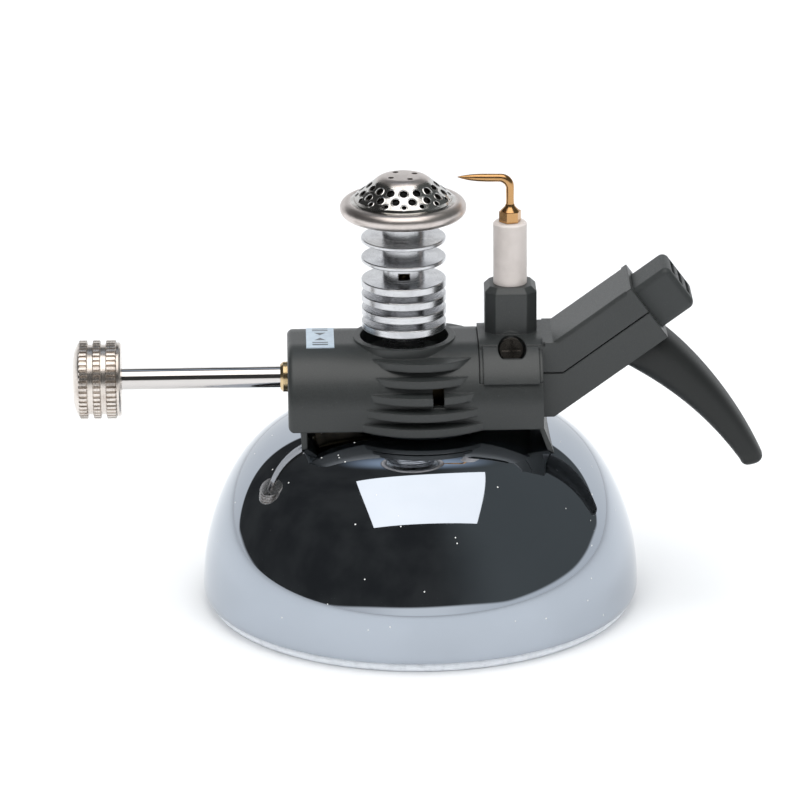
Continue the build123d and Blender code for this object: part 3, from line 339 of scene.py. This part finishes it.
BURNER_AXIS = (BURNER_X, 0.0)
ROD_AXIS = (0.0, ROD_Z)
MATERIALS = {
    "chrome_plate": plated("chrome_plate", (0.41, 0.447, 0.50), 0.012, 0.02, speck=0.9),
    # the chrome seam ring gets a near-white matt finish: a painted reflection of the pale floor
    "seam_painted_reflection": rubbery("seam_painted_reflection", (0.90, 0.93, 0.97), (0.78, 0.81, 0.85)),
    "rod_chrome": plated("rod_chrome", (0.66, 0.63, 0.61), 0.05, 0.05),
    "nickel_knurl": machined("nickel_knurl", (0.76, 0.70, 0.645), (0.56, 0.50, 0.45), (0.20, 0.34),
                             ROD_AXIS, "X", edge=0.00004),
    "base_steel": machined("base_steel", (0.54, 0.55, 0.56), (0.40, 0.40, 0.41), (0.28, 0.42), (0.0, 0.0)),
    "stainless": machined("stainless", (0.62, 0.60, 0.58), (0.45, 0.43, 0.41), (0.18, 0.32), BURNER_AXIS),
    "cap_stainless": burner_cap_steel(),
    "burner_aluminium": machined("burner_aluminium", (0.66, 0.665, 0.68), (0.52, 0.52, 0.54), (0.20, 0.32),
                                 BURNER_AXIS, edge=0.00022),
    "brass": machined("brass", (0.66, 0.50, 0.29), (0.50, 0.37, 0.19), (0.16, 0.30), ROD_AXIS, "X"),
    "electrode_brass": plated("electrode_brass", (0.54, 0.31, 0.135), 0.17, 0.10),
    "housing_plastic": moulded("housing_plastic", (0.0265, 0.0290, 0.0286), (0.075, 0.078, 0.076),
                               (0.33, 0.45), 0.22, edge=0.0004, shine=0.52),
    "lever_plastic": moulded("lever_plastic", (0.0120, 0.0132, 0.0128), (0.035, 0.037, 0.036), (0.44, 0.56),
                             0.10, shine=0.36),
    "button_plastic": moulded("button_plastic", (0.0245, 0.0275, 0.0275), (0.09, 0.093, 0.092),
                              (0.42, 0.56), 0.16),
    "label_film": printed_film(),
    "white_ceramic": steatite(),
    "seal_rubber": rubbery("seal_rubber", (0.022, 0.022, 0.023), (0.045, 0.045, 0.046)),
    "lead_silicone": rubbery("lead_silicone", (0.42, 0.06, 0.045), (0.30, 0.06, 0.05)),
    "piezo_case": moulded("piezo_case", (0.06, 0.06, 0.066), (0.12, 0.12, 0.13), (0.30, 0.42), 0.08),
    "spring_steel": machined("spring_steel", (0.52, 0.52, 0.54), (0.36, 0.36, 0.38), (0.20, 0.34),
                             (0.0, 0.0)),
    "cotton": braided_cotton(),
    # the flame screen is tinted near-black: painted shade inside the cap's gas holes
    "shade_darkened_mesh": machined("shade_darkened_mesh", (0.05, 0.045, 0.04), (0.02, 0.018, 0.016), (0.5, 0.7),
                              BURNER_AXIS),
    "dull_brass": machined("dull_brass", (0.17, 0.13, 0.08), (0.09, 0.07, 0.045), (0.35, 0.5), ROD_AXIS, "X"),
    # the cover screw is tinted dark: painted shade in its recess
    "shade_darkened_screw": machined("shade_darkened_screw", (0.30, 0.27, 0.24), (0.10, 0.09, 0.08), (0.16, 0.30), (0.0, 0.0)),
}
# nodes whose finish isn't the one that their material slot names
FINISH_OF_NODE = {
    "seam_ring": "seam_painted_reflection", "control_rod": "rod_chrome", "flame_cap": "cap_stainless",
    "flame_screen": "shade_darkened_mesh", "valve_body": "dull_brass", "cover_screw": "shade_darkened_screw",
}

for subpart in frame["record"]["subparts"]:
    node = frame["nodes"][subpart["node"]]
    finish = MATERIALS[FINISH_OF_NODE.get(subpart["node"], subpart["material_slot"])]
    if not node.data.materials:
        node.data.materials.append(finish)
    for index in range(len(node.data.materials)):
        node.data.materials[index] = finish


# ---------------------------------------------------------------- finer meshes for round and curved pieces
def add_piece(name, vertices, faces, node, body, finish, crease=32.0):
    """A mesh in millimetres that rides on body and stands for the CAD node."""
    mesh = bpy.data.meshes.new(name)
    shape = bmesh.new()
    made = [shape.verts.new(Vector(vertex) * MM) for vertex in vertices]
    for face in faces:
        shape.faces.new([made[index] for index in face])
    bmesh.ops.remove_doubles(shape, verts=shape.verts, dist=1e-7)
    bmesh.ops.dissolve_degenerate(shape, edges=shape.edges, dist=1e-8)
    bmesh.ops.recalc_face_normals(shape, faces=shape.faces)
    shape.to_mesh(mesh)
    shape.free()
    mesh.shade_smooth()
    mesh.set_sharp_from_angle(angle=radians(crease))
    mesh.materials.append(MATERIALS[finish])
    piece = bpy.data.objects.new(name, mesh)
    bpy.context.scene.collection.objects.link(piece)
    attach(piece, body)
    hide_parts(node)
    return piece


def ring_faces(rings, sides, first=0, closed=False):
    """Quads between consecutive rings of the same number of vertices; closed joins last to first."""
    faces = []
    for ring in range(rings if closed else rings - 1):
        here, there = first + ring * sides, first + (ring + 1) % rings * sides
        for side in range(sides):
            after = (side + 1) % sides
            faces.append((here + side, here + after, there + after, there + side))
    return faces


def capped(rings, sides, first=0):
    """Quads between rings, with both end rings closed."""
    last = first + (rings - 1) * sides
    return ring_faces(rings, sides, first) + [
        tuple(range(first, first + sides)), tuple(reversed(range(last, last + sides)))]


def arc(centre, radius, start, end, steps):
    """Points of a circular arc in a plane, with its angles in degrees."""
    turns = [radians(start + (end - start) * step / steps) for step in range(steps + 1)]
    return [(centre[0] + radius * cos(turn), centre[1] + radius * sin(turn)) for turn in turns]


def bezier(a, b, c, d, steps):
    """Points of a cubic Bezier curve."""
    points = []
    for step in range(steps + 1):
        t = step / steps
        weights = ((1 - t) ** 3, 3 * (1 - t) ** 2 * t, 3 * (1 - t) * t * t, t ** 3)
        points.append(tuple(sum(w * p[k] for w, p in zip(weights, (a, b, c, d))) for k in (0, 1)))
    return points


# the tank's side: a small curl at the foot, a large arc up the flank, then a curve over the shoulder
CURL_CENTRE, CURL_RADIUS, CURL_START = (42.0, 3.5), 3.0, -25.7
FLANK_CENTRE, FLANK_RADIUS, FLANK_TURN = (-3.0, 3.5), 48.0, 19.2
SHOULDER_PULL, CROWN_PULL, CROWN_RADIUS = 18.9, 17.0, 8.0
NECK_HOLE_RADIUS = 6.05
TANK_WALL = 1.0


def dome_outline(inset, fineness):
    """The tank's side from the curl at its foot to the neck hole, inset from the outer surface."""
    shrink = 1 - inset / FLANK_RADIUS
    top = tank_high.z / MM - inset
    curl = arc(CURL_CENTRE, CURL_RADIUS - inset, CURL_START, 0.0, 2 * fineness)
    flank = arc(FLANK_CENTRE, FLANK_RADIUS - inset, 0.0, FLANK_TURN, 4 * fineness)
    start = flank[-1]
    pull = (start[0] - SHOULDER_PULL * shrink * sin(radians(FLANK_TURN)),
            start[1] + SHOULDER_PULL * shrink * cos(radians(FLANK_TURN)))
    crown_pull = (CROWN_RADIUS + CROWN_PULL * shrink, top)
    shoulder = bezier(start, pull, crown_pull, (CROWN_RADIUS, top), 12 * fineness)
    return curl + flank[1:] + shoulder[1:] + [(NECK_HOLE_RADIUS, top)]


def tank_dome():
    outline = dome_outline(0.0, 5) + dome_outline(TANK_WALL, 1)[::-1]
    sides = 224
    vertices = [(r * cos(2 * pi * side / sides), r * sin(2 * pi * side / sides), z)
                for r, z in outline for side in range(sides)]
    add_piece("tank_dome", vertices, ring_faces(len(outline), sides, closed=True), "tank_shell", "frame",
              "chrome_plate")


def along_curve(sections, steps):
    """More sections between the given tuples of numbers, on a smooth curve through them."""
    made = []
    for index in range(len(sections) - 1):
        before, a = sections[max(index - 1, 0)], sections[index]
        b, after = sections[index + 1], sections[min(index + 2, len(sections) - 1)]
        for step in range(steps):
            t = step / steps
            made.append(tuple(0.5 * (2 * q + (r - p) * t + (2 * p - 5 * q + 4 * r - o) * t * t
                                     + (3 * q - p - 3 * r + o) * t ** 3)
                              for p, q, r, o in zip(before, a, b, after)))
    return made + [sections[-1]]


def plate(outline, low, high, first):
    """Vertices and faces of an XZ outline that runs from low to high in Y."""
    sides = len(outline)
    vertices = [(x, y, z) for y in (low, high) for x, z in outline]
    return vertices, capped(2, sides, first)


# the lever's blade in XZ: ends and handles of its upper and lower edges, from the arm to the tip
BLADE_UPPER = ((48.3, 59.3), (57.5, 52.5), (66.0, 41.0), (70.8, 30.2))
BLADE_LOWER = ((41.1, 51.5), (50.7, 46.5), (59.4, 39.2), (66.2, 29.1))
BLADE_STEPS = 45
TIP_LENGTH, TIP_LEAN, TIP_STEPS = 1.6, 0.16, 12
PIVOT = (40.36, 54.60)


def blade_sections():
    """Upper edge, lower edge and half width along the blade, with the tip rounded by a quarter turn."""
    sections = []
    edges = zip(bezier(*BLADE_UPPER, BLADE_STEPS), bezier(*BLADE_LOWER, BLADE_STEPS))
    for step, (upper, lower) in enumerate(edges):
        t = step / BLADE_STEPS
        # an even taper, narrowed where the blade enters the arm and where the tip begins
        half = 7.0 - t - 2.05 * t * t - 1.1 * (1 - t) ** 12 - 0.35 * t ** 24
        sections.append((*upper, *lower, half))
    ux, uz, lx, lz, half = sections[-1]
    middle, reach = ((ux + lx) / 2, (uz + lz) / 2), ((ux - lx) / 2, (uz - lz) / 2)
    for step in range(1, TIP_STEPS):
        turn = radians(90 * step / TIP_STEPS)
        shrink, forward = cos(turn), TIP_LENGTH * sin(turn)
        x, z = middle[0] + TIP_LEAN * forward, middle[1] - forward
        dx, dz = reach[0] * shrink, reach[1] * shrink
        sections.append((x + dx, z + dz, x - dx, z - dz, half * shrink))
    return sections


def lever():
    """The curved blade with flat-sided oval sections, its neck, its hub on the pin and its tail."""
    sides = 48
    sections = blade_sections()
    vertices = []
    for ux, uz, lx, lz, half in sections:
        for side in range(sides):
            turn = 2 * pi * side / sides
            rise = abs(cos(turn)) ** (2 / 3.0) * (1 if cos(turn) > 0 else -1)
            aside = abs(sin(turn)) ** (2 / 3.0) * (1 if sin(turn) > 0 else -1)
            vertices.append(((ux + lx) / 2 + (ux - lx) / 2 * rise, half * aside,
                             (uz + lz) / 2 + (uz - lz) / 2 * rise))
    faces = capped(len(sections), sides)
    hub = arc(PIVOT, 2.4, 0, 345, 23)
    tail = arc(PIVOT, 1.6, -50, 130, 12) + arc((34.0, 49.3), 1.1, 130, 310, 12)
    neck = [(39.56, 53.15), (43.1, 52.02), (46.41, 51.2), (46.73, 53.66), (45.22, 54.54), (42.56, 55.32)]
    for outline, low, high in ((hub, -6.0, 3.0), (neck, -6.0, 3.0), (tail, -5.8, -3.2)):
        more, more_faces = plate(outline, low, high, len(vertices))
        vertices += more
        faces += more_faces
    add_piece("lever_horn", vertices, faces, "trigger_lever", "lever", "lever_plastic", 40.0)


def electrode_horn():
    """A hexagonal collar with a coned top, and the wire that bends over and tapers to its point."""
    x, y = 18.9, 3.3
    sides = 32
    vertices, faces = [], []
    hexagon = [(2.3 * cos(radians(60 * k + 12)), 2.3 * sin(radians(60 * k + 12))) for k in range(6)]
    for scale, z in ((0.94, 80.0), (1.0, 80.12), (1.0, 82.25)):
        vertices += [(x + scale * a, y + scale * b, z) for a, b in hexagon]
    faces += capped(3, 6)
    cone = [(2.0, 82.2), (1.95, 82.35), (1.35, 82.95), (1.05, 83.3), (0.86, 83.8)]
    first = len(vertices)
    for r, z in cone:
        vertices += [(x + r * cos(2 * pi * k / sides), y + r * sin(2 * pi * k / sides), z)
                     for k in range(sides)]
    faces += capped(len(cone), sides, first)
    # the wire's middle line and radius
    bend = [(px, pz, 0.83 + 0.10 * sin(radians(18 * k))) for k, (px, pz) in
            enumerate(arc((16.8, 87.25), 2.1, 0, 90, 10))]
    route = [(x, 83.4, 0.86), (x, 85.0, 0.80)] + bend + [
        (14.6, 89.38, 0.84), (12.8, 89.43, 0.80), (11.2, 89.48, 0.68), (9.8, 89.54, 0.47), (8.8, 89.6, 0.24),
        (8.2, 89.64, 0.06)]
    route = along_curve(route, 3)
    first = len(vertices)
    for index, (px, pz, r) in enumerate(route):
        back_point, next_point = route[max(index - 1, 0)], route[min(index + 1, len(route) - 1)]
        dx, dz = next_point[0] - back_point[0], next_point[1] - back_point[1]
        length = hypot(dx, dz)
        for k in range(sides):
            turn = 2 * pi * k / sides
            out = r * cos(turn)
            vertices.append((px - out * dz / length, y + r * sin(turn), pz + out * dx / length))
    faces += capped(len(route), sides, first)
    add_piece("electrode_horn", vertices, faces, "electrode", "frame",
              "electrode_brass", 25.0)


# the knob along X: place and radius of its domed face and of its back, and its three fluted bands
KNOB_FACE = ((-70.99, 0.0), (-70.97, 3.2), (-70.9, 4.6), (-70.72, 5.7), (-70.4, 6.6), (-70.05, 7.25),
             (-69.78, 7.62), (-69.7, 7.7))
KNOB_BACK = ((-61.98, 7.2), (-61.98, 7.55), (-61.5, 7.6), (-61.2, 7.4), (-61.12, 7.1), (-61.12, 2.0))
KNOB_BANDS = ((-69.7, -67.95), (-66.85, -65.25), (-64.15, -62.05))
BAND_RADIUS, BAND_EDGE_RADIUS, BAND_CHAMFER, GROOVE_RADIUS = 8.08, 7.75, 0.15, 7.2
FLUTES, FLUTE_DEPTH = 46, 0.62


def knob_rings():
    """Place along X, radius, and whether the flutes cut the ring."""
    rings = [(x, radius, False) for x, radius in KNOB_FACE]
    for start, end in KNOB_BANDS:
        if (start, end) != KNOB_BANDS[0]:
            rings.append((start, GROOVE_RADIUS, False))
        rings += [(start, BAND_EDGE_RADIUS, True), (start + BAND_CHAMFER, BAND_RADIUS, True),
                  (end - BAND_CHAMFER, BAND_RADIUS, True), (end, BAND_EDGE_RADIUS, True),
                  (end, GROOVE_RADIUS, False)]
    return rings + [(x, radius, False) for x, radius in KNOB_BACK]


def knurled_knob():
    sides = FLUTES * 8
    centre = ROD_Z / MM
    rings = knob_rings()
    vertices = []
    for x, radius, cut in rings:
        for side in range(sides):
            turn = 2 * pi * side / sides
            valley = max(0.0, cos(FLUTES * turn)) ** 0.6 * FLUTE_DEPTH if cut else 0.0
            r = radius - valley
            vertices.append((x, r * cos(turn), centre + r * sin(turn)))
    add_piece("knurled_knob", vertices, capped(len(rings), sides), "control_knob", "control",
              "nickel_knurl", 28.0)


SPRING_WIRE, SPRING_PITCH = 0.3, 1.2


def valve_spring():
    """The fill valve's coil spring, wound at rest from its foot to its fixed top end."""
    low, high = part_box("fill_valve_spring")
    wire = SPRING_WIRE
    coil_radius = (high.x - low.x) / 2 / MM - wire
    centre_x, foot, head = (low.x + high.x) / 2 / MM, low.z / MM + wire, high.z / MM - wire
    turns = (head - foot) / SPRING_PITCH
    sides, steps = 12, 200
    vertices = []
    for step in range(steps + 1):
        turn = 2 * pi * turns * step / steps
        middle = foot + (head - foot) * step / steps
        for side in range(sides):
            around_wire = 2 * pi * side / sides
            r = coil_radius + wire * cos(around_wire)
            vertices.append((centre_x + r * cos(turn), r * sin(turn), middle + wire * sin(around_wire)))
    spring = add_piece("fill_spring_coil", vertices, capped(steps + 1, sides), "fill_valve_spring", "frame",
                       "spring_steel")
    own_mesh(spring)


tank_dome()
lever()
valve_spring()
electrode_horn()
knurled_knob()


# ---------------------------------------------------------------- camera
TURN, TILT, ROLL = radians(-1.23), radians(19.36), radians(-0.48)
DISTANCE = 1.2
AIM = Vector((-3.95, 0.0, 42.83)) * MM
FOCAL_PIXELS = 5831.0
IMAGE_SIDE = 800.0
SENSOR = 36.0

back = Vector((sin(TURN) * cos(TILT), -cos(TURN) * cos(TILT), sin(TILT)))
level_right = Vector((cos(TURN), sin(TURN), 0.0))
level_up = back.cross(level_right)
right = cos(ROLL) * level_right + sin(ROLL) * level_up
up = -sin(ROLL) * level_right + cos(ROLL) * level_up

camera = bpy.data.objects.new("camera", bpy.data.cameras.new("camera"))
camera.data.sensor_width = SENSOR
camera.data.lens = FOCAL_PIXELS / IMAGE_SIDE * SENSOR
camera.data.clip_start = 0.05
camera.data.clip_end = 20.0
camera.matrix_world = Matrix.Translation(AIM + back * DISTANCE) @ Matrix(
    (right, up, back)).transposed().to_4x4()
bpy.context.scene.collection.objects.link(camera)
bpy.context.scene.camera = camera


# ---------------------------------------------------------------- floor, room and lights
# brightness of the studio's white surroundings as a mirror sees them: ahead, far left and far right
TABLE_MIDDLE = (1.14, 1.16, 1.17)
TABLE_LEFT = (0.84, 0.85, 0.87)
TABLE_RIGHT = (0.92, 0.95, 0.98)
FLOOR_RADIUS = 7.0
SOFTBOX_CORNERS = ((-0.355, 0.130, 0.910), (0.325, 0.270, 0.885), (0.450, -0.545, 0.700),
                   (-0.400, -0.595, 0.695))


def studio_floor():
    """One plain pale material, the same for every ray."""
    mesh = bpy.data.meshes.new("studio_floor")
    shape = bmesh.new()
    bmesh.ops.create_circle(shape, cap_ends=True, segments=96, radius=FLOOR_RADIUS)
    shape.to_mesh(mesh)
    shape.free()
    floor = bpy.data.objects.new("studio_floor", mesh)
    floor.location.z = -0.05 * MM
    bpy.context.scene.collection.objects.link(floor)
    material, s, place = new_material("pale_floor")
    tint = s.mix(s.noise(place, 6.0, detail=2.0), (0.90, 0.91, 0.92), (0.93, 0.93, 0.93))
    s.output(s.add("ShaderNodeBsdfPrincipled", {"Base Color": tint, "Roughness": 0.9,
                                                "Specular IOR Level": 0.1}))
    mesh.materials.append(material)


def studio_room():
    """White to the camera and soft white on matt surfaces. Mirror surfaces see the studio: a white
    table to just above the horizon, a white backdrop behind the object, and a dim room elsewhere."""
    world = bpy.data.worlds.new("studio_room")
    bpy.context.scene.world = world
    world.use_nodes = True
    s = Shader(world.node_tree)
    direction = s.node("ShaderNodeTexCoord").outputs["Generated"]
    split = s.node("ShaderNodeSeparateXYZ", {"Vector": direction})
    x, y, z = split.outputs
    level = s.math("MAXIMUM", s.math("SQRT", s.math("ADD", s.math("MULTIPLY", x, x),
                                                    s.math("MULTIPLY", y, y))), 0.001)
    rise = s.math("DIVIDE", z, level)
    side = s.math("DIVIDE", x, level)
    behind = s.math("ADD", s.math("DIVIDE", y, level), s.math("MULTIPLY", s.math("ADD", side, 0.6), 0.05))
    table_edge = s.math("ADD", s.math("MULTIPLY", side, 0.022), s.smooth(behind, -0.6, -1.0, 0.012, 0.070))
    horizon = s.math("ADD", s.smooth(behind, 0.5, 1.0, 0.0, 0.50),
                     s.math("ADD", table_edge, s.smooth(behind, 0.0, 0.5, 0.0, 0.03)))
    room = s.smooth(s.math("SUBTRACT", rise, horizon), -0.012, 0.012)
    cloud = s.noise(direction, 3.4, detail=3.0)
    dim = s.mix(s.smooth(cloud, 0.3, 0.7), (0.034, 0.035, 0.036), (0.056, 0.057, 0.056))
    dim = s.mix(s.smooth(side, 0.05, 0.75), dim, (0.120, 0.130, 0.130))
    stretched = s.node("ShaderNodeVectorMath", {0: direction, 1: (0.45, 1.0, 1.0)}, operation="MULTIPLY")
    glow_place = Vector((0.0, 0.50, 0.86))
    away = s.node("ShaderNodeVectorMath", {0: stretched.outputs[0], 1: glow_place}, operation="DISTANCE")
    glow = s.smooth(away.outputs["Value"], 0.17, 0.03)
    dim = s.mix(glow, dim, (0.50, 0.60, 0.74))
    pale = s.mix(s.smooth(side, -0.1, -0.7), TABLE_MIDDLE, TABLE_LEFT)
    pale = s.mix(s.smooth(side, 0.1, 0.7), pale, TABLE_RIGHT)
    pale = s.mix(s.smooth(behind, 0.3, 0.9), pale, (0.98, 1.0, 1.02))
    shown = s.mix(room, pale, dim)
    paths = s.node("ShaderNodeLightPath").outputs
    matt = s.mix(s.smooth(z, -0.2, 1.0), (0.60, 0.61, 0.63), (0.96, 0.97, 0.98))
    seen = s.mix(paths["Is Glossy Ray"], matt, shown)
    seen = s.mix(paths["Is Camera Ray"], seen, (1.0, 1.0, 1.0))
    s.output(s.add("ShaderNodeBackground", {"Color": seen, "Strength": 1.0}), "ShaderNodeOutputWorld")


def area_light(name, centre, across, along, energy):
    """A rectangular softbox with the sides across and along, hidden from the camera and from mirrors."""
    data = bpy.data.lights.new(name, "AREA")
    data.shape = "RECTANGLE"
    data.size, data.size_y = across.length, along.length
    data.energy = energy
    light = bpy.data.objects.new(name, data)
    axis_x, axis_y = across.normalized(), along.normalized()
    axis_z = axis_x.cross(axis_y)
    light.matrix_world = Matrix.Translation(centre) @ Matrix((axis_x, axis_y, axis_z)).transposed().to_4x4()
    light.visible_camera = False
    light.visible_glossy = False
    bpy.context.scene.collection.objects.link(light)
    return light


def softbox_energy(radiance, across, along):
    """Power in watts of an area light that looks as bright as radiance."""
    return radiance * pi * across.length * along.length


def softbox_panel():
    """The overhead softbox's bright face, which only mirror surfaces see; the area light is its light."""
    steps = 8
    mesh = bpy.data.meshes.new("softbox_panel")
    shape = bmesh.new()
    corner = [Vector(place) for place in SOFTBOX_CORNERS]
    rows = []
    for row in range(steps + 1):
        left = corner[0].lerp(corner[3], row / steps)
        right_end = corner[1].lerp(corner[2], row / steps)
        rows.append([shape.verts.new(left.lerp(right_end, column / steps)) for column in range(steps + 1)])
    for row in range(steps):
        for column in range(steps):
            shape.faces.new((rows[row][column], rows[row][column + 1], rows[row + 1][column + 1],
                             rows[row + 1][column]))
    shape.to_mesh(mesh)
    shape.free()
    panel = bpy.data.objects.new("softbox_panel", mesh)
    bpy.context.scene.collection.objects.link(panel)
    panel.visible_camera = False
    panel.visible_diffuse = False
    panel.visible_shadow = False
    panel.visible_transmission = False
    material, s, place = new_material("softbox_cloth")
    cloth = s.noise(place, 3.0, detail=1.0)
    tint = s.mix(s.smooth(cloth, 0.3, 0.7), (0.98, 0.965, 0.95), (1.0, 0.98, 0.96))
    s.output(s.add("ShaderNodeEmission", {"Color": tint, "Strength": 2.12}))
    mesh.materials.append(material)


def studio_lights():
    across = Vector((0.80, 0.0, 0.0))
    along = Vector((0.0, 0.90, 0.30))
    overhead = area_light("softbox_overhead", Vector((0.02, -0.15, 0.90)), across, along,
                          softbox_energy(2.2, across, along))
    overhead.data.color = (0.97, 0.99, 1.0)
    across = Vector((0.55, -0.25, 0.0))
    along = Vector((0.10, 0.22, 0.55))
    area_light("fill_front", Vector((-0.55, -1.1, 0.75)), across, along,
               softbox_energy(0.4, across, along))


softbox_panel()
studio_floor()
studio_room()
studio_lights()
bpy.context.scene.view_settings.view_transform = "Standard"
